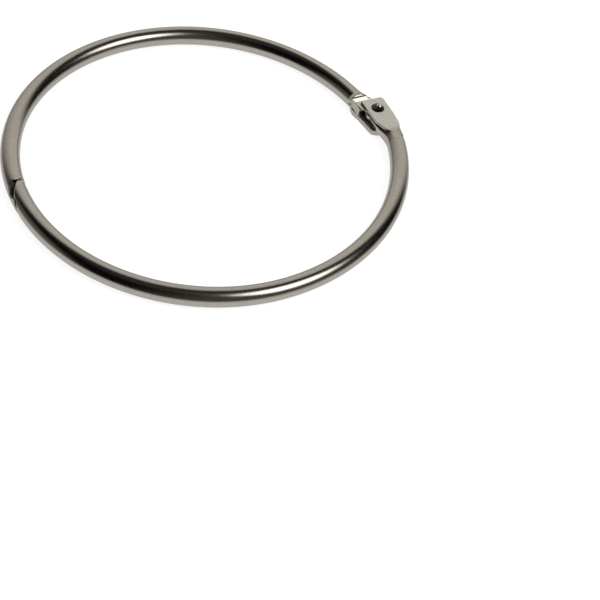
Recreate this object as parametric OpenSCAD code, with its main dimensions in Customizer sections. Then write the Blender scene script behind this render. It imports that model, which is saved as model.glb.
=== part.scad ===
// Hinged binder ring: two round-wire halves turn on one rivet and hook together
// at the far side. Millimetres, +Z up; the origin is the centre of the closed
// ring in the wire's mid-plane, and the rivet stands on +X.

/* [Ring] */
// Clear diameter inside the closed ring
ring_inner_d = 76.2; // [70:0.1:90]
// Wire diameter
wire_d = 4.1; // [3.9:0.05:4.5]
// How much wider than the circle the fork half bows towards the hinge
fork_bow = 3.6; // [3.2:0.1:4]

/* [Hinge] */
// Distance of the rivet outside the wire's centre circle
rivet_offset = 1.85; // [1.7:0.01:2]
// Radius of the bend at the root of the fork
root_bend_r = 12; // [9:0.5:15]
// Width of the flat leaf at the rivet
leaf_w = 5.2; // [4.8:0.05:5.6]
// Leaf length from the rivet to its free end
leaf_nose = 3.2; // [2.9:0.05:3.3]
// Thickness of the top leaf
leaf_t = 0.5; // [0.4:0.02:0.6]
// Depth of the flat on the leaf below the top of the wire
flat_drop = 0.15; // [0.1:0.01:0.2]
// Thickness of the tongue between leaf and prong
tongue_t = 0.4; // [0.3:0.02:0.5]
// Radius of the tongue's round end
tongue_r = 2.4; // [2.1:0.05:2.6]
// Reach of the tongue's narrow lobe past the rivet
tongue_reach = 3.3; // [2.8:0.1:3.6]
// Distance from the rivet to the bottom of the fork's slot
slot_root = 6.6; // [6:0.1:7]
// Thickness of the lower plate
plate_t = 1.4; // [1.2:0.05:1.5]
// Radius, about the rivet, of the lower plate's round end
plate_nose_r = 4.85; // [4.6:0.05:5]
// Inner edge of the lower plate from the rivet
plate_in = 3.5; // [3.3:0.05:3.6]
// Radius of the hollow where plate and tongue run into the wire's outer side
flare_r = 3.8; // [3.6:0.1:4]
// Distance from the rivet to the flat that is pressed on the wire's inner side
flank_in = 3.65; // [3.5:0.05:3.8]
// Radius in which that flat runs out
flank_r = 1.2; // [0.8:0.1:1.6]
// Lean of that run-out along the wire
flank_lean = 48; // [40:1:55]
// Gap between sliding faces of the hinge
hinge_gap = 0.05; // [0.04:0.01:0.08]
// Length of the hollow behind the leaf
runout = 1.9; // [1.7:0.05:2.3]
// Length of the rounded crest between that hollow and the wire
crest_run = 1; // [0.7:0.05:1.3]

/* [Rivet] */
// Rivet shank diameter
rivet_d = 2; // [1.6:0.05:2.2]
// Diameter of the domed head
head_d = 2.9; // [2.6:0.05:3.3]
// Height of the domed head
head_h = 0.65; // [0.5:0.05:0.8]
// Diameter of the peened lower end
peen_d = 3; // [2.6:0.05:3.4]
// Depth of the peened lower end
peen_h = 0.6; // [0.4:0.05:0.8]
// Radial play of the rivet in the tongue half
rivet_play = 0.05; // [0.03:0.01:0.08]

/* [Snap] */
// Tip to crest of each hook
nose_len = 3; // [2.85:0.05:3.3]
// Length of the slope that the hooks hold on
catch_len = 1; // [0.7:0.05:1.1]
// Height of the hook's crest past the middle of the wire
hook_h = 0.33; // [0.25:0.01:0.4]
// Distance between the hooks' holding slopes along the wire
catch_gap = 0.2; // [0.12:0.02:0.3]
// Length of the notch from the holding slope to the shoulder
notch_len = 3.4; // [3.35:0.05:3.8]
// Extra room in front of the outer tip
tip_room = 0.3; // [0.2:0.05:0.8]
// Roll of the hooks about the wire
snap_roll = 25; // [15:1:40]
// Radius of the fork half's tip, seen from above, on the inner side
tip_r = 1.5; // [1:0.1:1.6]
// Radius of the tongue half's tip, seen from above
inner_tip_r = 2.3; // [2.1:0.1:3]
// Radius of the taper on the outer side of the fork half's hook
taper_r = 11.1; // [9:0.1:13]
// Where that taper starts, measured from the snap's middle
taper_at = 3.55; // [3:0.05:4.5]

/* [Hidden] */
$fn = 96;
steel = [0.78, 0.77, 0.74];
r = wire_d / 2;
ring_r = ring_inner_d / 2 + r;
pivot = ring_r + rivet_offset;
// Fork half: from the lowest point round, a wider arc, then a bend into the leaf
bow_r = ring_r + fork_bow;
bend_x = pivot - root_bend_r;
bend_y = fork_bow - sqrt(pow(bow_r - root_bend_r, 2) - pow(bend_x, 2));
bend_a = atan2(fork_bow - bend_y, bend_x);
// Levels of the hinge, from the underside up
plate_z0 = -r + 0.04;
plate_z1 = plate_z0 + plate_t;
prong_z0 = plate_z1 + hinge_gap;
leaf_z1 = r - flat_drop;
leaf_z0 = leaf_z1 - leaf_t;
tongue_z1 = leaf_z0 - hinge_gap;
tongue_z0 = tongue_z1 - tongue_t;
prong_z1 = tongue_z0 - hinge_gap;
// Free end of the leaf, and the step behind it
step_y = leaf_nose + 0.15;
// Round nose of the prong, and the pocket that it turns in
prong_r = leaf_w / 2 + 0.1;
pocket_r = prong_r + 0.1;
// Where hollow and crest behind the leaf meet, and how steep they are there
lean = 2 * atan((r - tongue_z1) / (runout + crest_run));
hollow_r = runout / sin(lean);
crest_r = crest_run / sin(lean);
// Distance of the hooks' tips from the snap's middle, along the wire
tip_at = nose_len + (catch_len + catch_gap) / 2;
// Whole degrees past the middle of the snap that each wire is drawn before it is cut
snap_a = ceil(atan((tip_at + 1) / ring_r));

// Wire along an arc about c: from angle a0 through a degrees
module wire_arc(c, rad, a0, a) {
    translate([c[0], c[1], 0])
        rotate_extrude(angle = a, start = a0) translate([rad, 0]) circle(r);
}

// Straight wire from p, heading to angle a
module wire_straight(p, a, len) {
    translate([p[0], p[1], 0]) rotate([0, 0, a]) rotate([0, 90, 0]) cylinder(h = len, r = r);
}

// Hairline band that joins two runs of wire whose ends meet at p, heading to angle a
module wire_joint(p, a) {
    translate([p[0], p[1], 0]) rotate([0, 0, a]) rotate([0, 90, 0])
        cylinder(h = 0.4, r = r + 0.006, center = true);
}

// Flat piece between two levels, its outline drawn about the rivet
module slab(z0, z1) {
    translate([pivot, 0, z0]) linear_extrude(height = z1 - z0) children();
}

// What is cut off a wire end to leave the hook, in side view: the hook's tip is
// at x = 0 and the wire runs to +x
module hook_waste_2d(shoulder) {
    s1 = nose_len;
    s2 = s1 + catch_len;
    polygon([[0.3, -4], [0.3, -r], [0.08, -r + 0.3], [0, -r + 0.6], [0.12, -r + 0.9],
        [s1 - 2.5, -0.9], [s1 - 1.8, -0.45], [s1 - 1.2, -0.05], [s1 - 0.6, hook_h - 0.08],
        [s1, hook_h], [s2, -hook_h], [s2 + 0.3, -hook_h - 0.12], [shoulder - 2.6, -0.42],
        [shoulder - 1.4, 0.3], [shoulder - 0.7, 0.75], [shoulder - 0.1, 1.1], [shoulder, r],
        [shoulder, 4], [-6, 4], [-6, -4]]);
}

// The same as a solid right across the wire: side 1 is the tongue half
module hook_waste(side) {
    sh = nose_len + catch_len + notch_len + (side == 1 ? 0 : tip_room);
    translate([-ring_r, 0, 0]) rotate([0, snap_roll, 0]) rotate([90, 0, 90])
        rotate([0, 0, side == 1 ? 0 : 180]) translate([-tip_at, 0, 0])
            linear_extrude(height = 12, center = true) hook_waste_2d(sh);
}

// What rounds the tongue half's tip, seen from above
module inner_tip_waste() {
    translate([-ring_r, 0, -r - 1]) linear_extrude(height = 2 * r + 2) difference() {
        translate([-4, -tip_at - 2]) square([8, inner_tip_r + 1.9]);
        translate([0.1, -tip_at + inner_tip_r + 0.05]) circle(inner_tip_r);
        translate([-4, -tip_at + inner_tip_r]) square([8, 4]);
    }
}

// What tapers and rounds the fork half's hook, seen from above
module outer_tip_waste() {
    translate([-ring_r, 0, -r - 1]) linear_extrude(height = 2 * r + 2) {
        difference() {
            translate([-4, -taper_at]) square([6, tip_at + taper_at + 2]);
            translate([taper_r - r, -taper_at]) circle(taper_r);
        }
        difference() {
            translate([0.5, tip_at - tip_r]) square(4);
            translate([0.5, tip_at - tip_r - 0.05]) circle(tip_r);
        }
    }
}

// Outline of the leaf, from its free end back into the wire
module leaf_2d() {
    w = leaf_w / 2;
    polygon([[-w + 0.05, leaf_nose], [-w, -4], [-r, -5.3], [-r + 0.5, -slot_root],
        [-0.9, -slot_root - 0.6], [0.2, -slot_root - 0.8], [1.5, -slot_root - 0.3],
        [r + 0.05, -slot_root + 0.5], [w - 0.24, -5.1], [w, -3.1], [w + 0.15, -0.5],
        [w + 0.18, leaf_nose - 0.8],
        [w + 0.05, leaf_nose - 0.3], [w - 0.35, leaf_nose]]);
}

// Outline of the prong: a bar from the wire, with a round nose about the rivet
module prong_2d() {
    w = leaf_w / 2;
    circle(prong_r);
    polygon([[-w + 0.1, 0], [-w + 0.13, -4.1], [-r - 0.2, -5.7], [-r + 0.1, -7], [-1.5, -9],
        [1.5, -9], [r, -7.2], [w - 0.24, -5.1], [w, -3.1], [w + 0.05, 0]]);
}

// Hollow on the outer side where plate and tongue run into the wire
module flare_2d() {
    translate([leaf_w / 2 + 0.62, flare_r + 3.05]) circle(flare_r);
}

// Outline of the lower plate, leaving the wire on its inner side by degrees
module plate_2d() {
    w = leaf_w / 2;
    difference() {
        intersection() {
            polygon([[-plate_in + 0.5, 7], [-plate_in + 0.2, 5.9], [-plate_in - 0.2, 4.8],
                [-plate_in - 0.4, 3.7], [-plate_in + 0.35, -3.5], [-plate_in + 0.8, -5],
                [w, -5], [w, 3.4], [-0.65, 6.4]]);
            union() {
                circle(plate_nose_r);
                translate([-10, 0]) square([20, 10]);
            }
        }
        flare_2d();
    }
}

// Outline of the tongue: a round end with a narrower lobe, and its wide root
module tongue_2d() {
    difference() {
        union() {
            circle(tongue_r);
            polygon([[-tongue_r + 0.2, -1], [-0.95, -tongue_reach], [0.95, -tongue_reach],
                [tongue_r - 0.2, -1]]);
            polygon([[-tongue_r, 0], [-flank_in, 3.3], [-flank_in, 6], [-0.65, 6.4],
                [tongue_r - 0.1, 3.1], [tongue_r, 0]]);
        }
        flare_2d();
    }
}

// Cut behind the leaf, in side view: a hollow that rises from the leaf's free end,
// then a crest that rounds over into the wire
module step_waste_2d() {
    top = step_y + runout;
    crest_y = top + crest_run;
    difference() {
        union() {
            translate([-8, tongue_z1]) square([8 + step_y + 0.15, 3]);
            intersection() {
                translate([step_y, tongue_z1 + hollow_r + 0.002]) circle(hollow_r);
                translate([-1, 0]) square([top + 1.02, 4]);
            }
            translate([top, 0]) square([crest_run - 0.05, 4]);
        }
        translate([crest_y, r - crest_r]) circle(crest_r);
    }
}

module fork_half_ring() {
    color(steel) difference() {
        union() {
            wire_arc([0, 0], ring_r, 180 - snap_a, 90 + snap_a);
            wire_arc([0, fork_bow], bow_r, 270, 90 - bend_a - 0.2);
            wire_joint([bow_r * cos(bend_a), fork_bow - bow_r * sin(bend_a)], 90 - bend_a);
            wire_arc([bend_x, bend_y], root_bend_r, -bend_a + 0.5, bend_a - 0.5);
            wire_straight([pivot, bend_y], 90, 2);
            slab(prong_z0, prong_z1) prong_2d();
            slab(leaf_z0, leaf_z1) leaf_2d();
        }
        hook_waste(-1);
        outer_tip_waste();
        // Flat on top of the leaf, running out into the wire
        translate([pivot - 5, -slot_root - 0.8, leaf_z1]) cube([10, 12, 3]);
        // Slot for the tongue
        translate([pivot - 5, -slot_root, prong_z1]) cube([10, 12, leaf_z0 - prong_z1]);
        // Room for the lower plate to turn
        slab(-r - 1, prong_z0) union() {
            circle(plate_nose_r + 0.1);
            translate([-5, 0]) square(10);
        }
        // Rivet hole
        translate([pivot, 0, -4]) cylinder(h = 8, d = rivet_d);
    }
}

module tongue_half_ring() {
    color(steel) difference() {
        union() {
            wire_arc([0, 0], ring_r, 1.5, 178.5 + snap_a);
            slab(plate_z0, plate_z1) plate_2d();
            slab(plate_z1 - 0.1, tongue_z1) intersection() {
                plate_2d();
                translate([-flank_in, 2.4]) square([10, 4]);
            }
            slab(tongue_z0, tongue_z1) tongue_2d();
        }
        hook_waste(1);
        inner_tip_waste();
        // Step behind the leaf, running out into the wire
        translate([pivot - 7, 0, 0]) rotate([90, 0, 90])
            linear_extrude(height = 14) step_waste_2d();
        // Flat on the inner side above the plate, running out into the wire at a lean
        intersection() {
            translate([pivot - flank_in, step_y, tongue_z1]) rotate([flank_lean, 0, 0]) {
                translate([-4, -12, -8]) cube([4, 12.1, 12]);
                translate([0.003 - flank_r, 0, -8]) cylinder(h = 12, r = flank_r);
            }
            slab(plate_z1, r + 1) translate([-flank_in - 4, -6]) square([5, 16]);
        }
        // Pocket that the prong turns in
        slab(plate_z1, tongue_z0) union() {
            circle(pocket_r);
            translate([-6, -6]) square([12, 7.6]);
        }
        // Rivet hole and seat of the peened end
        translate([pivot, 0, -4]) cylinder(h = 8, d = rivet_d + 2 * rivet_play);
        translate([pivot, 0, plate_z0 - 0.01]) cylinder(h = peen_h,
            d1 = peen_d + 2 * rivet_play, d2 = rivet_d + 2 * rivet_play);
    }
}

module hinge_rivet() {
    cap_r = (pow(head_d / 2, 2) + pow(head_h, 2)) / 2 / head_h;
    color([0.7, 0.69, 0.66]) translate([pivot, 0, 0]) rotate_extrude() {
        translate([0, plate_z0 + 0.02]) square([rivet_d / 2, leaf_z1 - plate_z0]);
        polygon([[0, plate_z0 + 0.02], [peen_d / 2 - 0.03, plate_z0 + 0.02],
            [rivet_d / 2, plate_z0 + peen_h - 0.03], [0, plate_z0 + peen_h - 0.03]]);
        intersection() {
            translate([0, leaf_z1 + head_h - cap_r]) circle(cap_r);
            translate([0, leaf_z1]) square([head_d, head_h]);
        }
    }
}

fork_half_ring();
tongue_half_ring();
hinge_rivet();
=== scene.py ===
"""Hinged binder ring of nickel-plated round wire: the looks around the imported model.

Each half ring is one closed skin, netted over a signed distance: the same wire, slabs and cuts
as the solids, with every edge rounded. Lengths are in millimetres until the mesh is made.
"""
import math

import bpy
import numpy as np
from mathutils import Matrix, Vector

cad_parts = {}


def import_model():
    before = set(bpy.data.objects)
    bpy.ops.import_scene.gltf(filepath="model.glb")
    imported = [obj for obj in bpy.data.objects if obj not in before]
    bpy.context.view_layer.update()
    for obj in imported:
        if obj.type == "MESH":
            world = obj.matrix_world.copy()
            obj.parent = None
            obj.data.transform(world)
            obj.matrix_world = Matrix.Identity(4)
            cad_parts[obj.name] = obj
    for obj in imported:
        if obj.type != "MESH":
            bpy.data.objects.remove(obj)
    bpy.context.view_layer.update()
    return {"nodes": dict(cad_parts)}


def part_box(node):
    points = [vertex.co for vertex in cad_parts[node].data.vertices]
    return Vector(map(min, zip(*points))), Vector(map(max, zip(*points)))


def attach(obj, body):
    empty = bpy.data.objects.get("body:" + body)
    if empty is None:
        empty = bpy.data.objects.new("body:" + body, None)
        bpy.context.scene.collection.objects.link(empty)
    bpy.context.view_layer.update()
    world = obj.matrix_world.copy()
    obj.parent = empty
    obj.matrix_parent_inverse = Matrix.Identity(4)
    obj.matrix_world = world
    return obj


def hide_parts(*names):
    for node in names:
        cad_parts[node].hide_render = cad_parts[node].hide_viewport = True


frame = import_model()

MM = 0.001

# Sizes taken from the frame
WIRE_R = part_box("tongue_half_ring")[1].z / MM
RING_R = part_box("tongue_half_ring")[1].y / MM - WIRE_R
RIVET_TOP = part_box("hinge_rivet")[1].z / MM
PIVOT = (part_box("hinge_rivet")[0].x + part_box("hinge_rivet")[1].x) / 2 / MM
FLOOR = min(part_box(name)[0].z for name in frame["nodes"]) / MM

# Fork half: a wider arc from the lowest point, then a bend into the leaf
FORK_BOW = 3.6
ROOT_BEND_R = 12.0
BOW_R = RING_R + FORK_BOW
BEND_X = PIVOT - ROOT_BEND_R
BEND_Y = FORK_BOW - math.sqrt((BOW_R - ROOT_BEND_R) ** 2 - BEND_X ** 2)
BEND_A = math.atan2(FORK_BOW - BEND_Y, BEND_X)

# Levels of the hinge, from the underside up
HINGE_GAP = 0.05
PLATE_T = 1.4
PLATE_LIFT = 0.04
TONGUE_T = 0.4
LEAF_T = 0.5
FLAT_DROP = 0.15
PLATE = (-WIRE_R + PLATE_LIFT, -WIRE_R + PLATE_LIFT + PLATE_T)
LEAF = (WIRE_R - FLAT_DROP - LEAF_T, WIRE_R - FLAT_DROP)
TONGUE = (LEAF[0] - HINGE_GAP - TONGUE_T, LEAF[0] - HINGE_GAP)
PRONG = (PLATE[1] + HINGE_GAP, TONGUE[0] - HINGE_GAP)

# Outlines of the hinge, seen from above, about the rivet
LEAF_NOSE = 3.2
LEAF_HALF_W = 2.6
SLOT_ROOT = 6.6
TONGUE_R = 2.4
TONGUE_REACH = 3.3
PLATE_NOSE_R = 4.85
PLATE_IN = 3.5
FLARE_R = 3.8
FLANK_IN = 3.65
PRONG_R = LEAF_HALF_W + 0.1
SWEEP_GAP = 0.1      # room that a round end has where it swings past the other half

# The struck step behind the leaf, and the flat that runs out into the wire beside it
STEP_Y = LEAF_NOSE + 0.7
STEP_DIP = 0.2
STEP_RAMPS = ((0.82, 33.5), (0.3, 14), (0.3, 33.5), (0.25, 12))   # run and slope of each
FLANK_R = 1.0
FLANK_LEAN = math.radians(39)

# Rivet
RIVET_R = 1.0
RIVET_PLAY = 0.05
HEAD_R = 1.45
PEEN_R = 1.5
PEEN_H = 0.6
LUMP_H = 0.42        # the struck head is left with a lump on it
LUMP_AT = (PIVOT + 0.58, 0.3)
LUMP_SPREAD = 0.52
LUMP_SINK = 0.045    # a little less than the dome has fallen under the lump
LUMP_RUB = (0.5 * MM, 0.85 * MM)

# Snap
NOSE_LEN = 3.0
CATCH_LEN = 1.0
HOOK_H = 0.33
CATCH_GAP = 0.2
NOTCH_LEN = 3.4
TIP_ROOM = 0.3
SNAP_ROLL = math.radians(25)
TIP_AT = NOSE_LEN + (CATCH_LEN + CATCH_GAP) / 2
TIP_R = 1.5
INNER_TIP_R = 2.3
TAPER_R = 11.1
TAPER_AT = 3.55

# Roundings
EDGE = 0.22          # worn edge of a cut
MELD = 0.5           # soft hollow where pressed metal runs into the wire

# The hinge and the snap lie beyond this much X and within this much Y
END_X = 30
END_Y = 14

# Mesh steps
FINE = 0.085
COARSE = 0.9
ROUND_THE_WIRE = 0.105
SHIFT_LIMIT = 0.1    # how far a point is moved at a time when it is put onto the surface


def place(name, data):
    """A new object in the scene."""
    made = bpy.data.objects.new(name, data)
    bpy.context.scene.collection.objects.link(made)
    return made


# ---- signed distances, negative inside ------------------------------------------------------

def both(a, b, k=EDGE):
    """Where a and b overlap, with the edge between them rounded."""
    h = np.maximum(k - np.abs(a - b), 0.0)
    return np.maximum(a, b) + h * h / (4 * k)


def either(a, b, k=MELD):
    """a and b together, with the corner between them filled."""
    return -both(-a, -b, k)


def without(a, b, k=EDGE):
    """a with b cut out of it."""
    return both(a, -b, k)


def outline(u, v, points):
    """Distance to a closed outline of straight runs."""
    nearest = np.full(u.shape, 1e9)
    sign = np.ones(u.shape)
    for (ax, ay), (bx, by) in zip(points, points[-1:] + points[:-1]):
        ex, ey = bx - ax, by - ay
        wu, wv = u - ax, v - ay
        t = np.clip((wu * ex + wv * ey) / (ex * ex + ey * ey), 0, 1)
        nearest = np.minimum(nearest, (wu - ex * t) ** 2 + (wv - ey * t) ** 2)
        left = ex * wv > ey * wu
        crosses = ((v >= ay) & (v < by) & left) | ((v < ay) & (v >= by) & ~left)
        sign[crosses] *= -1
    return sign * np.sqrt(nearest)


def slab(z, z0, z1, flat, k=EDGE):
    """An outline seen from above, between two levels."""
    return both(np.maximum(z0 - z, z - z1), flat, k)


def disc(u, v, radius):
    """Distance to a circle about the origin of u and v."""
    return np.hypot(u, v) - radius


# ---- wire -----------------------------------------------------------------------------------

def ring_wire(x, y, z):
    return np.hypot(np.hypot(x, y) - RING_R, z) - WIRE_R


def fork_wire(x, y, z):
    """The ring's circle, the wider bow, the bend and the straight root, one after another."""
    off = np.hypot(x, y) - RING_R
    off = np.where(x > 0, np.hypot(x, y - FORK_BOW) - BOW_R, off)
    dx, dy = math.cos(BEND_A), -math.sin(BEND_A)
    in_bend = (x > 0) & ((x - BEND_X) * dy - (y - BEND_Y) * dx < 0) & (x > BEND_X)
    off = np.where(in_bend, np.hypot(x - BEND_X, y - BEND_Y) - ROOT_BEND_R, off)
    straight = in_bend & (y > BEND_Y)
    off = np.where(straight, x - PIVOT, off)
    return np.hypot(off, z) - WIRE_R


def hook_waste(x, y, z, side):
    """What is cut off a wire's end to leave its hook; side 1 is the tongue half."""
    up = (x + RING_R) * math.sin(SNAP_ROLL) + z * math.cos(SNAP_ROLL)
    t = TIP_AT + side * y
    crest = NOSE_LEN
    foot = crest + CATCH_LEN
    shoulder = foot + NOTCH_LEN + (0 if side == 1 else TIP_ROOM)
    profile = outline(t, side * up, [
        (0.3, -6), (0.3, -WIRE_R), (0.08, 0.3 - WIRE_R), (0, 0.6 - WIRE_R), (0.12, 0.9 - WIRE_R),
        (crest - 2.5, -0.9), (crest - 1.8, -0.45), (crest - 1.2, -0.05),
        (crest - 0.6, HOOK_H - 0.08), (crest, HOOK_H), (foot, -HOOK_H),
        (foot + 0.3, -HOOK_H - 0.12), (shoulder - 2.6, -0.42), (shoulder - 1.4, 0.3),
        (shoulder - 0.7, 0.75), (shoulder - 0.1, 1.1), (shoulder, WIRE_R), (shoulder, 6),
        (-9, 6), (-9, -6)])
    off = x + RING_R
    if side == 1:
        beside = -disc(off - 0.1, t - INNER_TIP_R, INNER_TIP_R)
        return np.minimum(profile, np.maximum(beside, t - INNER_TIP_R))
    taper = np.maximum(-disc(off - TAPER_R + WIRE_R, y + TAPER_AT, TAPER_R), -TAPER_AT - y)
    taper = np.maximum(taper, off - 2)
    tip = np.maximum(-disc(off - 0.5, t - TIP_R, TIP_R), np.maximum(t - TIP_R, 0.5 - off))
    return np.minimum(profile, np.minimum(taper, tip))


# ---- the two half rings ---------------------------------------------------------------------

def leaf_plan(u, v):
    """The leaf: square nose over the step, narrowing where it grows out of the wire."""
    return outline(u, v, [
        (-2.55, LEAF_NOSE), (-2.6, -4), (-2.05, -5.3), (-1.55, -SLOT_ROOT),
        (-1, -SLOT_ROOT - 0.8), (-0.2, -SLOT_ROOT - 1.6), (0.7, -SLOT_ROOT - 1.7),
        (1.35, -SLOT_ROOT - 1.1), (1.85, -7), (2.25, -6), (2.47, -4.9), (2.62, -3.1),
        (2.75, -0.5), (2.78, 2.4),
        (2.72, 2.75), (2.5, 3.08), (2.25, LEAF_NOSE)])


def prong_plan(u, v):
    """The prong: a bar with a round end about the rivet."""
    bar = outline(u, v, [
        (-2.5, 0), (-2.47, -4.1), (-2.25, -5.7), (-1.95, -7), (-1.5, -9), (1.5, -9),
        (2.05, -7.2), (2.36, -5.1), (2.6, -3.1), (2.65, 0)])
    return np.minimum(bar, disc(u, v, PRONG_R))


def flare(u, v):
    """Hollow on the outer side where plate and tongue run into the wire."""
    return disc(u - LEAF_HALF_W - 0.62, v - FLARE_R - 3.05, FLARE_R)


def plate_plan(u, v):
    """The lower plate: wide on the inner side, round about the rivet."""
    w = LEAF_HALF_W
    body = outline(u, v, [
        (-PLATE_IN + 0.5, 7), (-PLATE_IN + 0.2, 5.9), (-PLATE_IN - 0.2, 4.8),
        (-PLATE_IN - 0.4, 3.7), (-PLATE_IN + 0.35, -3.5), (-PLATE_IN + 0.8, -5), (w, -5),
        (w, 3.4), (-0.65, 6.4)])
    body = both(body, np.minimum(disc(u, v, PLATE_NOSE_R), -v), 0.3)
    return np.maximum(body, -flare(u, v))


def tongue_plan(u, v):
    """Round end with a narrower lobe, and a wide root."""
    lobe = outline(u, v, [
        (-TONGUE_R + 0.2, -1), (-0.95, -TONGUE_REACH), (0.95, -TONGUE_REACH),
        (TONGUE_R - 0.2, -1)])
    root = outline(u, v, [
        (-TONGUE_R, 0), (-FLANK_IN, 3.3), (-FLANK_IN, 6), (-0.65, 6.4), (TONGUE_R - 0.1, 3.1),
        (TONGUE_R, 0)])
    plan = np.minimum(either(disc(u, v, TONGUE_R), lobe, 0.6), root)
    return np.maximum(plan, -flare(u, v))


def fork_hinge(x, y, z):
    """End of the fork half: the leaf, the slot for the tongue and the prong."""
    u, v = x - PIVOT, y
    wire = both(fork_wire(x, y, z), y - BEND_Y - 2)
    # the leaf's level runs on over the wire and leaves it little by little
    lid = z - LEAF[1] - np.interp(v, (-11.5, -9.6, -SLOT_ROOT - 0.6), (1, 0.16, 0))
    solid = either(both(wire, lid), slab(z, *PRONG, prong_plan(u, v)), 0.8)
    # the corner between leaf and wire is filled most near the slot's root
    meld = np.interp(v, (-8.2, -7.2, -5.4, -4.2), (0.03, 0.5, 0.7, 0.2))
    plan = leaf_plan(u, v)
    leaf = slab(z, *LEAF, plan, 0.14)
    leaf = np.minimum(leaf, slab(z, 0.3, LEAF[1], np.maximum(plan, v + SLOT_ROOT + 0.2), 0.4))
    # its far end draws in until it is within the wire
    root_r = np.interp(v, (-8.2, -6.6, -4.8), (WIRE_R - 0.06, 2.75, 3.6))
    leaf = both(leaf, np.hypot(u, z) - root_r, 0.3)
    solid = either(solid, leaf, meld)
    solid = np.maximum(solid, lid)
    slot = both(np.maximum(PRONG[1] - z, z - LEAF[0]), -SLOT_ROOT - v, 0.15)
    solid = without(solid, slot, 0.1)
    sweep = np.minimum(disc(u, v, PLATE_NOSE_R + SWEEP_GAP), -v)
    solid = without(solid, np.maximum(z - PRONG[0], sweep), 0.15)
    return without(solid, disc(u, v, RIVET_R), 0.1)


def fork_half(x, y, z):
    """Plain wire, but for the hinge at one end and the hook at the other."""
    solid = fork_wire(x, y, z)
    near = (x > END_X) & (y > -END_Y)
    solid[near] = fork_hinge(x[near], y[near], z[near])
    near = (x < -END_X) & (np.abs(y) < END_Y)
    cut = hook_waste(x[near], y[near], z[near], -1)
    solid[near] = without(ring_wire(x[near], y[near], z[near]), cut)
    return solid


def tongue_hinge(x, y, z):
    """End of the tongue half: lower plate, tongue, the prong's pocket and the rivet's hole."""
    u, v = x - PIVOT, y
    start = RING_R * math.sin(math.radians(1.5))
    solid = both(ring_wire(x, y, z), start - y)
    plate = plate_plan(u, v)
    solid = either(solid, slab(z, *PLATE, plate), 0.4)
    solid = either(solid, slab(z, PLATE[0], TONGUE[1], np.maximum(plate, 2.4 - v)), 0.4)
    solid = np.maximum(solid, -WIRE_R - z)
    solid = either(solid, shoulder(np.hypot(x, y) - RING_R, v, z + 0.03), 0.12)
    solid = np.minimum(solid, slab(z, *TONGUE, tongue_plan(u, v), 0.1))
    solid = without(solid, step_waste(v, z), 0.08)
    solid = without(solid, flank_waste(u, v, z), 0.12)
    pocket = np.minimum(disc(u, v, PRONG_R + SWEEP_GAP), v - 1.6)
    solid = without(solid, np.maximum(np.maximum(PLATE[1] - z, z - TONGUE[0]), pocket), 0.12)
    hole = disc(u, v, RIVET_R + RIVET_PLAY)
    seat = disc(u, v, PEEN_R + RIVET_PLAY - (PEEN_R - RIVET_R) * (z - PLATE[0]) / PEEN_H)
    return without(solid, np.minimum(hole, both(seat, z - PLATE[0] - PEEN_H)), 0.1)


def shoulder(off, v, z):
    """Metal pressed wide over the wire where the step behind the leaf is struck."""
    bow = np.interp(v, (4.8, 5.4, 5.9), (6.5, 4.5, WIRE_R))
    crown = np.hypot(off, z - WIRE_R + bow) - bow
    sides = np.abs(off + 0.2) - np.interp(v, (4.6, 5.4, 5.9), (2.1, 1.95, 1.4))
    return both(both(crown, sides, 0.14), np.maximum(np.maximum(3 - v, v - 6), 0.6 - z), 0.2)


def step_waste(v, z):
    """The step behind the leaf: two struck ramps with a land above each."""
    at, level = [STEP_Y - 0.25, STEP_Y - 0.05], [TONGUE[1], TONGUE[1] - STEP_DIP]
    for run, lean in STEP_RAMPS + ((1, 60),):
        at.append(at[-1] + run)
        level.append(level[-1] + run * math.tan(math.radians(lean)))
    return (np.interp(v, at, level) - z) * 0.9


def flank_waste(u, v, z):
    """The flat on the inner side above the plate, running out into the wire at a lean."""
    along = (v - STEP_Y) * math.cos(FLANK_LEAN) + (z - TONGUE[1]) * math.sin(FLANK_LEAN)
    fade = 0.2 + 0.5 * np.clip((v - 4.2) / 1.4, 0, 1)
    across = u + FLANK_IN + fade * np.clip((0.7 - z) / 1.2, 0, 1)
    run_out = np.hypot(across + FLANK_R, along) - FLANK_R
    return np.maximum(np.minimum(np.maximum(across, along), run_out), PLATE[1] - z)


def tongue_half(x, y, z):
    """Plain wire, but for the hinge at one end and the hook at the other."""
    solid = ring_wire(x, y, z)
    near = (x > END_X) & (y < END_Y)
    solid[near] = tongue_hinge(x[near], y[near], z[near])
    near = (x < -END_X) & (np.abs(y) < END_Y)
    cut = hook_waste(x[near], y[near], z[near], 1)
    solid[near] = without(solid[near], cut)
    return solid


# ---- netting a skin over a distance ---------------------------------------------------------

def steps(spans):
    """Grid lines through spans of (start, end, step)."""
    lines = [np.linspace(a, b, max(2, round(abs(b - a) / step) + 1))[:-1] for a, b, step in spans]
    return np.append(np.concatenate(lines), spans[-1][1])


def slope(solid, points, h=0.01):
    """Gradient of the distance at each point, and its size."""
    axes = np.eye(3) * h
    g = [solid(*(points + e).T) - solid(*(points - e).T) for e in axes]
    g = np.stack(g, 1) / (2 * h)
    return g, np.linalg.norm(g, axis=1, keepdims=True)


def settle(solid, points, rounds):
    """Moves points onto the surface."""
    for _ in range(rounds):
        g, size = slope(solid, points)
        size = np.maximum(size, 0.3)
        away = np.clip(solid(*points.T)[:, None] / size, -SHIFT_LIMIT, SHIFT_LIMIT)
        points = points - away * g / size
    return points


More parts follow.
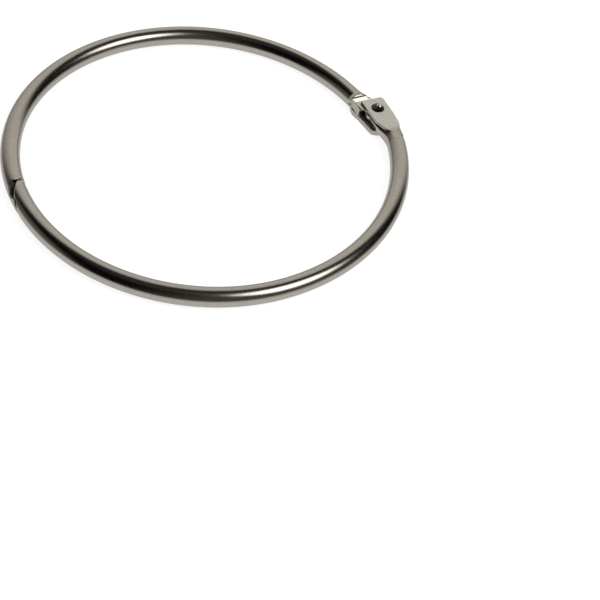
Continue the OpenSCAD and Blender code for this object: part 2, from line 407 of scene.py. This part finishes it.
def cell_points(grid, value, inside):
    """A point in each cell that the surface crosses, and the points' numbers by cell."""
    cells = tuple(n - 1 for n in value.shape)
    corners = [(i, j, k) for i in (0, 1) for j in (0, 1) for k in (0, 1)]
    count = sum(inside[tuple(slice(c, c + n) for c, n in zip(corner, cells))].astype(np.int8)
                for corner in corners)
    used = np.argwhere((count > 0) & (count < 8))
    index = np.full(cells, -1, np.int64)
    index[tuple(used.T)] = np.arange(len(used))
    total = np.zeros((len(used), 3))
    hits = np.zeros((len(used), 1))
    for corner in corners:
        for axis in range(3):
            if corner[axis]:
                continue
            other = tuple(1 if n == axis else corner[n] for n in range(3))
            p, q = tuple((used + corner).T), tuple((used + other).T)
            vp, vq = value[p], value[q]
            cut = (vp < 0) != (vq < 0)
            t = np.where(cut, vp / np.where(cut, vp - vq, 1), 0)[:, None]
            total += np.where(cut[:, None], grid[p] * (1 - t) + grid[q] * t, 0)
            hits += cut[:, None]
    return index, total / hits


def cell_quads(inside, index):
    """A quad round each edge of the grid that the surface crosses, facing outward."""
    cells = index.shape
    faces = []
    for axis in range(3):
        b, c = (axis + 1) % 3, (axis + 2) % 3
        lo = [slice(None)] * 3
        hi = [slice(None)] * 3
        lo[axis], hi[axis] = slice(0, -1), slice(1, None)
        change = inside[tuple(lo)].astype(np.int8) - inside[tuple(hi)].astype(np.int8)
        for sign in (1, -1):
            e = np.argwhere(change == sign)
            e = e[(e[:, b] > 0) & (e[:, c] > 0) & (e[:, b] < cells[b]) & (e[:, c] < cells[c])]
            quad = []
            for db, dc in ((1, 1), (0, 1), (0, 0), (1, 0)):
                cell = e.copy()
                cell[:, b] -= db
                cell[:, c] -= dc
                quad.append(index[tuple(cell.T)])
            quad = np.stack(quad, 1)
            faces.append(quad if sign == -1 else quad[:, ::-1])
    return np.concatenate(faces)


def net(solid, angles, across, levels, centre_r):
    """Quads over the surface of solid, on a grid of angle, offset from the wire and height."""
    a, o, z = np.meshgrid(angles, across, levels, indexing="ij")
    rho = centre_r(a) + o
    grid = np.stack([rho * np.cos(a), rho * np.sin(a), z], -1)
    value = solid(*(grid[..., n].ravel() for n in range(3))).reshape(a.shape)
    inside = value < 0
    index, points = cell_points(grid, value, inside)
    faces = cell_quads(inside, index)
    points = settle(solid, points, 3)
    for _ in range(3):
        points = settle(solid, relax(points, faces), 1)
    return settle(solid, points, 1), faces


def relax(points, faces):
    """Half a step of each point towards the middle of its neighbours."""
    total = np.zeros_like(points)
    hits = np.zeros(len(points))
    for k in range(4):
        a, b = faces[:, k], faces[:, (k + 1) % 4]
        for i, j in ((a, b), (b, a)):
            for n in range(3):
                total[:, n] += np.bincount(i, points[j, n], len(points))
            hits += np.bincount(i, minlength=len(points))
    return points + 0.5 * (total / hits[:, None] - points)


def skin(name, solid, angles, across, levels, centre_r):
    """The netted surface as an object, shaded by the slope of the distance."""
    points, faces = net(solid, angles, across, levels, centre_r)
    g, size = slope(solid, points)
    mesh = bpy.data.meshes.new(name)
    mesh.from_pydata((points * MM).tolist(), [], faces.tolist())
    mesh.polygons.foreach_set("use_smooth", [True] * len(mesh.polygons))
    mesh.normals_split_custom_set_from_vertices((g / size).tolist())
    mesh.update()
    return place(name, mesh)


def fork_centre(a):
    """Distance of the fork half's wire from the origin, at each angle."""
    bow = FORK_BOW * np.sin(a) + np.sqrt(BOW_R ** 2 - (FORK_BOW * np.cos(a)) ** 2)
    return np.where(np.cos(a) > 0, bow, RING_R)


def ring_centre(a):
    return np.full(a.shape, RING_R)


def deg(*spans):
    """Spans of angle, with their steps in millimetres along the wire."""
    return steps([(math.radians(a), math.radians(b), s / RING_R) for a, b, s in spans])


fine_levels = steps([(-2.3, 2.3, ROUND_THE_WIRE)])
fork = skin("fork_half_skin", fork_half,
            deg((170, 188, FINE), (188, 344, COARSE), (344, 366, FINE)),
            steps([(-5.2, 4.6, ROUND_THE_WIRE)]), fine_levels, fork_centre)
tongue = skin("tongue_half_skin", tongue_half,
              deg((-7, 17, FINE), (17, 172, COARSE), (172, 190, FINE)),
              steps([(-3.2, 5.4, ROUND_THE_WIRE)]), fine_levels, ring_centre)


def lathe(name, profile, centre, sides=96):
    """A solid of revolution about +Z; profile runs from the lower pole to the upper one."""
    rings = profile[1:-1]
    turn = [2 * math.pi * k / sides for k in range(sides)]
    points = [(centre[0] + r * math.cos(t), centre[1] + r * math.sin(t), z)
              for r, z in rings for t in turn]
    points += [(centre[0], centre[1], profile[0][1]), (centre[0], centre[1], profile[-1][1])]
    low, high = len(points) - 2, len(points) - 1
    faces = []
    for k in range(sides):
        n = (k + 1) % sides
        faces.append((low, n, k))
        faces.append((high, (len(rings) - 1) * sides + k, (len(rings) - 1) * sides + n))
        for row in range(len(rings) - 1):
            a = row * sides
            faces.append((a + k, a + n, a + sides + n, a + sides + k))
    mesh = bpy.data.meshes.new(name)
    mesh.from_pydata([tuple(c * MM for c in p) for p in points], [], faces)
    mesh.polygons.foreach_set("use_smooth", [True] * len(mesh.polygons))
    mesh.update()
    return place(name, mesh)


DOME_STEPS = 24


def rivet_profile():
    """Half section of the rivet from the peened end up, without the lump."""
    top = RIVET_TOP - LUMP_H + LUMP_SINK
    head_h = top - LEAF[1]
    cap_r = (HEAD_R ** 2 + head_h ** 2) / 2 / head_h
    low = PLATE[0] + 0.02
    peen = PEEN_R - 0.03
    foot = [(0, low), (peen - 0.12, low), (peen - 0.03, low + 0.03), (peen, low + 0.1)]
    shank = [(RIVET_R, low + PEEN_H), (RIVET_R, LEAF[1] - 0.02), (HEAD_R - 0.08, LEAF[1]),
             (HEAD_R, LEAF[1] + 0.06)]
    start = math.asin((HEAD_R - 0.02) / cap_r)
    turns = [start * (1 - k / DOME_STEPS) for k in range(1, DOME_STEPS)]
    dome = [(cap_r * math.sin(a), top - cap_r + cap_r * math.cos(a)) for a in turns]
    return foot + shank + dome + [(0, top)]


rivet = lathe("hinge_rivet_skin", rivet_profile(), (PIVOT, 0))
for vertex in rivet.data.vertices:
    if vertex.co.z > (LEAF[1] + 0.1) * MM:
        apart = math.hypot(vertex.co.x / MM - LUMP_AT[0], vertex.co.y / MM - LUMP_AT[1])
        vertex.co.z += LUMP_H * MM * math.exp(-(apart / LUMP_SPREAD) ** 2)
rivet.data.update()

# ---- bodies -----------------------------------------------------------------------------------

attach(fork, "fork_half")
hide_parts("fork_half_ring")
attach(tongue, "tongue_half")
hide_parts("tongue_half_ring")
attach(rivet, "fork_half")
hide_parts("hinge_rivet")


# ---- materials --------------------------------------------------------------------------------

# The pressed flats of the hinge, more satin and with a painted sheen where they face up: Z of the
# normal, and the soft edges of the area in X and Y
FLAT_FACING = (0.94, 0.985)
FLAT_FROM_X = (30 * MM, 32 * MM)
FLAT_FROM_Y = (-7.6 * MM, -6 * MM)
FLAT_TO_Y = (3.4 * MM, 4.4 * MM)
CLOUD_SHARE = 0.06   # how much clouds change the plate's colour and roughness


def ramp(nodes, links, value, low, high, start=0.0, end=1.0):
    """Eases from start to end as value runs from low to high."""
    made = nodes.new("ShaderNodeMapRange")
    made.interpolation_type = "SMOOTHSTEP"
    for socket, number in (("From Min", low), ("From Max", high), ("To Min", start),
                           ("To Max", end)):
        made.inputs[socket].default_value = number
    links.new(value, made.inputs["Value"])
    return made.outputs["Result"]


def times(nodes, links, *values):
    """The product of values."""
    total = values[0]
    for value in values[1:]:
        made = nodes.new("ShaderNodeMath")
        made.operation = "MULTIPLY"
        links.new(total, made.inputs[0])
        links.new(value, made.inputs[1])
        total = made.outputs[0]
    return total


def blend(nodes, links, share, first, second):
    """From first to second by share; each is a colour or a socket."""
    mix = nodes.new("ShaderNodeMix")
    mix.data_type = "RGBA"
    links.new(share, mix.inputs["Factor"])
    for socket, value in ((mix.inputs["A"], first), (mix.inputs["B"], second)):
        if isinstance(value, tuple):
            socket.default_value = value
        else:
            links.new(value, socket)
    return mix.outputs["Result"]


def clouds(nodes, links, vector, scale):
    """A noise texture over the vector."""
    made = nodes.new("ShaderNodeTexNoise")
    made.inputs["Scale"].default_value = scale
    links.new(vector, made.inputs["Vector"])
    return made


def metal(name):
    """A new metal with its nodes, links, shader and texture coordinates."""
    made = bpy.data.materials.new(name)
    made.use_nodes = True
    nodes, links = made.node_tree.nodes, made.node_tree.links
    shader = nodes["Principled BSDF"]
    shader.inputs["Metallic"].default_value = 1.0
    return made, nodes, links, shader, nodes.new("ShaderNodeTexCoord").outputs


def nickel(name, tint, rough, painted_sheen_tint, flat_rough):
    """Worn nickel plate; pressed flats of the hinge that face up are more satin, and paler by a
    painted sheen.
    """
    made, nodes, links, shader, coords = metal(name)
    shader.inputs["Specular Tint"].default_value = (0.8, 0.8, 0.8, 1)
    spot = nodes.new("ShaderNodeSeparateXYZ")
    links.new(coords["Object"], spot.inputs[0])
    facing = nodes.new("ShaderNodeSeparateXYZ")
    links.new(coords["Normal"], facing.inputs[0])
    # mask of the up-facing pressed flats: their higher roughness is a real satin finish, their
    # paler colour is painted sheen
    flat = times(nodes, links,
                 ramp(nodes, links, facing.outputs["Z"], *FLAT_FACING),
                 ramp(nodes, links, spot.outputs["X"], *FLAT_FROM_X),
                 ramp(nodes, links, spot.outputs["Y"], *FLAT_FROM_Y),
                 ramp(nodes, links, spot.outputs["Y"], *FLAT_TO_Y, 1, 0))
    cloud = clouds(nodes, links, coords["Object"], 2200)
    cloud.inputs["Detail"].default_value = 5
    shade = ramp(nodes, links, cloud.outputs["Fac"], 0.3, 0.7)
    low, high = 1 - CLOUD_SHARE, 1 + CLOUD_SHARE
    # plain nickel, and the paler painted sheen of the up-facing flats, each varied by clouds
    colours = [blend(nodes, links, shade, tuple(low * c for c in base) + (1,),
                     tuple(high * c for c in base) + (1,)) for base in (tint, painted_sheen_tint)]
    links.new(blend(nodes, links, flat, *colours), shader.inputs["Base Color"])
    spread = nodes.new("ShaderNodeMix")
    links.new(flat, spread.inputs["Factor"])
    links.new(ramp(nodes, links, cloud.outputs["Fac"], 0.3, 0.7, rough * low, rough * high),
              spread.inputs["A"])
    spread.inputs["B"].default_value = flat_rough
    links.new(spread.outputs["Result"], shader.inputs["Roughness"])
    return made


def tarnished(name):
    """Dark brown metal, rubbed bright on the lump of the head."""
    made, nodes, links, shader, coords = metal(name)
    apart = nodes.new("ShaderNodeVectorMath")
    apart.operation = "DISTANCE"
    apart.inputs[1].default_value = (LUMP_AT[0] * MM, LUMP_AT[1] * MM, RIVET_TOP * MM)
    links.new(coords["Object"], apart.inputs[0])
    rubbed = ramp(nodes, links, apart.outputs["Value"], *LUMP_RUB, 1, 0)
    links.new(ramp(nodes, links, apart.outputs["Value"], *LUMP_RUB, 0.32, 0.2),
              shader.inputs["Roughness"])
    cloud = clouds(nodes, links, coords["Object"], 2500)
    dark = blend(nodes, links, cloud.outputs["Fac"], (0.02, 0.012, 0.01, 1),
                 (0.075, 0.055, 0.048, 1))
    links.new(blend(nodes, links, rubbed, dark, (0.8, 0.77, 0.73, 1)),
              shader.inputs["Base Color"])
    return made


# after the plain tint and roughness: the painted sheen colour and the satin roughness of the
# up-facing flats
wire_nickel = nickel("wire_nickel", (0.371, 0.350, 0.315), 0.2, (0.58, 0.56, 0.52), 0.36)
rivet_nickel = tarnished("rivet_nickel")
fork.data.materials.append(wire_nickel)
tongue.data.materials.append(wire_nickel)
rivet.data.materials.append(rivet_nickel)

# ---- stage --------------------------------------------------------------------------------------

CAMERA_AT = Vector((-109.48, -208.17, 215.89)) * MM
CAMERA_RIGHT = Vector((0.89038, -0.43812, 0.12367))
CAMERA_BACK = Vector((-0.37814, -0.56048, 0.73682))
FLOOR_SIZE = 6.0
FLOOR_LIFT = 0.82    # light given off by the floor, as the camera and the metal see it

# What the metal sees of the room, later ones over earlier: middle of the zone as azimuth
# and elevation, angles from it where the zone ends and where it is full, and colour
ROOM = (0.004, 0.004, 0.004, 1)
GLOWS = (
    ((40, 5), 70, 10, (0.11, 0.10, 0.085, 1)),
    ((-85, 0), 40, 0, (0.2, 0.19, 0.165, 1)),
    ((0, 90), 38, 5, (0.05, 0.048, 0.043, 1)),
)
BACKDROP = ((-168, 6), 62, 44)
BACKDROP_LIT = ((150, 10), 125, 35)
BACKDROP_DIM = (0.1, 0.09, 0.08, 1)
BACKDROP_BRIGHT = (0.95, 0.92, 0.87, 1)
SOFT = (0.6, 0.6, 0.6, 1)
WHITE = (1, 1, 1, 1)


def direction(azimuth, elevation):
    """Unit vector; azimuth in degrees, counterclockwise from the camera's side."""
    turn = math.atan2(CAMERA_BACK.y, CAMERA_BACK.x) + math.radians(azimuth)
    rise = math.radians(elevation)
    return Vector((math.cos(turn) * math.cos(rise), math.sin(turn) * math.cos(rise),
                   math.sin(rise)))


def camera():
    """The photo's view: its lens, place and direction."""
    data = bpy.data.cameras.new("camera")
    data.lens = 90
    data.sensor_width = 36
    data.clip_start = 0.01
    made = place("camera", data)
    up = CAMERA_BACK.cross(CAMERA_RIGHT)
    made.matrix_world = Matrix.Translation(CAMERA_AT) @ Matrix(
        (CAMERA_RIGHT, up, CAMERA_BACK)).transposed().to_4x4()
    bpy.context.scene.camera = made


def seen(nodes, links, *kinds):
    """1 for rays of these kinds."""
    path = nodes.new("ShaderNodeLightPath")
    total = path.outputs[kinds[0]]
    for kind in kinds[1:]:
        more = nodes.new("ShaderNodeMath")
        more.operation = "MAXIMUM"
        links.new(total, more.inputs[0])
        links.new(path.outputs[kind], more.inputs[1])
        total = more.outputs[0]
    return total


def zone(nodes, links, vector, middle, outer, inner):
    """1 within inner degrees of a direction, falling to 0 at outer degrees."""
    toward = nodes.new("ShaderNodeVectorMath")
    toward.operation = "DOT_PRODUCT"
    toward.inputs[1].default_value = direction(*middle)
    links.new(vector, toward.inputs[0])
    return ramp(nodes, links, toward.outputs["Value"], math.cos(math.radians(outer)),
                math.cos(math.radians(inner)))


def world():
    """White to the camera; to the metal a white backdrop behind and a dark room before it."""
    made = bpy.data.worlds.new("studio")
    bpy.context.scene.world = made
    made.use_nodes = True
    nodes, links = made.node_tree.nodes, made.node_tree.links
    nodes.clear()
    toward = nodes.new("ShaderNodeTexCoord").outputs["Generated"]
    room = ROOM
    for *area, colour in GLOWS:
        room = blend(nodes, links, zone(nodes, links, toward, *area), room, colour)
    cloth = blend(nodes, links, zone(nodes, links, toward, *BACKDROP_LIT), BACKDROP_DIM,
                  BACKDROP_BRIGHT)
    room = blend(nodes, links, zone(nodes, links, toward, *BACKDROP), room, cloth)
    soft = blend(nodes, links, seen(nodes, links, "Is Diffuse Ray"), room, SOFT)
    white = blend(nodes, links, seen(nodes, links, "Is Camera Ray"), soft, WHITE)
    shine = nodes.new("ShaderNodeBackground")
    links.new(white, shine.inputs["Color"])
    out = nodes.new("ShaderNodeOutputWorld")
    links.new(shine.outputs[0], out.inputs["Surface"])


def floor():
    """White to the camera and to the metal, but for what the metal sees of it at a low angle."""
    side = FLOOR_SIZE / 2
    mesh = bpy.data.meshes.new("floor")
    mesh.from_pydata([(x * side, y * side, FLOOR * MM)
                      for x, y in ((-1, -1), (1, -1), (1, 1), (-1, 1))], [], [(0, 1, 2, 3)])
    made = place("floor", mesh)
    paint = bpy.data.materials.new("floor_white")
    paint.use_nodes = True
    nodes, links = paint.node_tree.nodes, paint.node_tree.links
    shader = nodes["Principled BSDF"]
    shader.inputs["Base Color"].default_value = (0.35, 0.35, 0.35, 1)
    shader.inputs["Roughness"].default_value = 0.9
    shader.inputs["Specular IOR Level"].default_value = 0
    shader.inputs["Emission Color"].default_value = WHITE
    graze = nodes.new("ShaderNodeFresnel")
    graze.inputs["IOR"].default_value = 1.5
    shown = ramp(nodes, links, graze.outputs[0], 0, 0.75, FLOOR_LIFT, 0)
    shown = times(nodes, links, shown,
                  seen(nodes, links, "Is Glossy Ray", "Is Transmission Ray"))
    lift = nodes.new("ShaderNodeMath")
    lift.operation = "MULTIPLY_ADD"
    lift.inputs[1].default_value = FLOOR_LIFT
    links.new(seen(nodes, links, "Is Camera Ray"), lift.inputs[0])
    links.new(shown, lift.inputs[2])
    links.new(lift.outputs[0], shader.inputs["Emission Strength"])
    mesh.materials.append(paint)


def softbox(name, azimuth, elevation, distance, radius, core, level):
    """A round lamp cloth, brightest inside its core, that the camera doesn't see."""
    away = direction(azimuth, elevation)
    mesh = bpy.data.meshes.new(name)
    made = place(name, mesh)
    sides = 64
    mesh.from_pydata([(radius * math.cos(math.tau * k / sides),
                       radius * math.sin(math.tau * k / sides), 0) for k in range(sides)],
                     [], [tuple(range(sides))])
    made.matrix_world = (Matrix.Translation(away * distance)
                         @ away.to_track_quat("Z", "Y").to_matrix().to_4x4())
    made.visible_camera = False
    cloth = bpy.data.materials.new(name)
    cloth.use_nodes = True
    nodes, links = cloth.node_tree.nodes, cloth.node_tree.links
    nodes.clear()
    length = nodes.new("ShaderNodeVectorMath")
    length.operation = "LENGTH"
    links.new(nodes.new("ShaderNodeTexCoord").outputs["Object"], length.inputs[0])
    fade = ramp(nodes, links, length.outputs["Value"], core, radius, level, 0)
    glow = nodes.new("ShaderNodeEmission")
    links.new(fade, glow.inputs["Strength"])
    out = nodes.new("ShaderNodeOutputMaterial")
    links.new(glow.outputs[0], out.inputs["Surface"])
    mesh.materials.append(cloth)


camera()
world()
floor()
softbox("key_cloth", 68, 49, 0.6, 0.28, 0.12, 4)

bpy.context.scene.view_settings.view_transform = "Standard"
